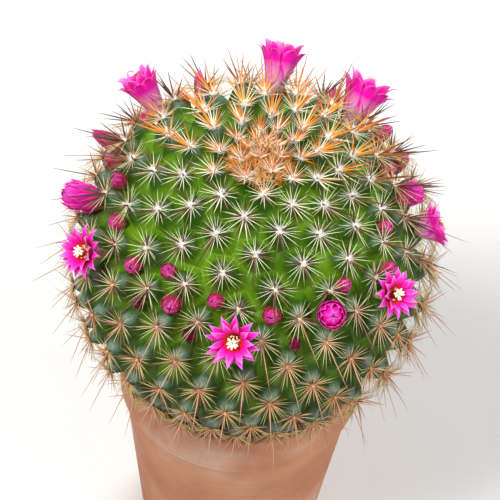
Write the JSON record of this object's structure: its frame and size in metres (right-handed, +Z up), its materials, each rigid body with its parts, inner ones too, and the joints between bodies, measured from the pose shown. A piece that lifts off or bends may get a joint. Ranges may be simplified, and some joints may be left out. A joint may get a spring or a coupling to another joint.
{
  "type": "potted ginsa maru mammillaria",
  "caption": "Globe cactus with spiral rows of spined tubercles and a ring of magenta flowers and buds, growing in a small plain terracotta pot of gritty soil.",
  "frame": {"origin": "middle of the pot's flat base, on the surface that it stands on", "axes": "+Z up along the pot's axis, -Y towards the front of the plant as pictured, +X to its right"},
  "size_m": [0.12, 0.119, 0.1551],
  "materials": {
    "terracotta": "matt unglazed terracotta",
    "soil": "dry gritty potting mix",
    "plant": "satin green skin with pale and brown spines",
    "petals": "soft satin petals, magenta with pale tips",
    "buds": "soft satin bud scales, deep pink",
    "withered": "dull dried petals, dark purple",
    "stamens": "powdery cream"
  },
  "bodies": {
    "root": {"pot": "terracotta", "soil": "soil", "stem": "plant", "bud_01": "buds", "bud_02": "buds", "bud_03": "buds", "bud_04": "buds", "bud_05": "buds", "bud_06": "buds", "bud_07": "buds", "bud_08": "withered", "bud_09": "buds", "bud_10": "buds", "bud_11": "buds", "bud_12": "withered", "bud_13": "withered", "bud_14": "buds", "bud_15": "buds", "bud_16": "buds", "bud_17": "buds", "bud_18": "buds", "bud_19": "buds", "bud_20": "buds", "bud_21": "buds", "flower_01_petals": "petals", "flower_01_stamens": "stamens", "flower_02_petals": "petals", "flower_02_stamens": "stamens", "flower_03_petals": "petals", "flower_04_petals": "petals", "flower_04_stamens": "stamens", "flower_05_petals": "petals", "flower_06_petals": "petals", "flower_06_stamens": "stamens", "flower_07_petals": "petals", "flower_07_stamens": "stamens", "flower_08_petals": "petals", "flower_08_stamens": "stamens", "flower_09_petals": "petals", "flower_09_stamens": "stamens", "flower_10_petals": "petals", "flower_11": "buds"}
  },
  "joints": []
}
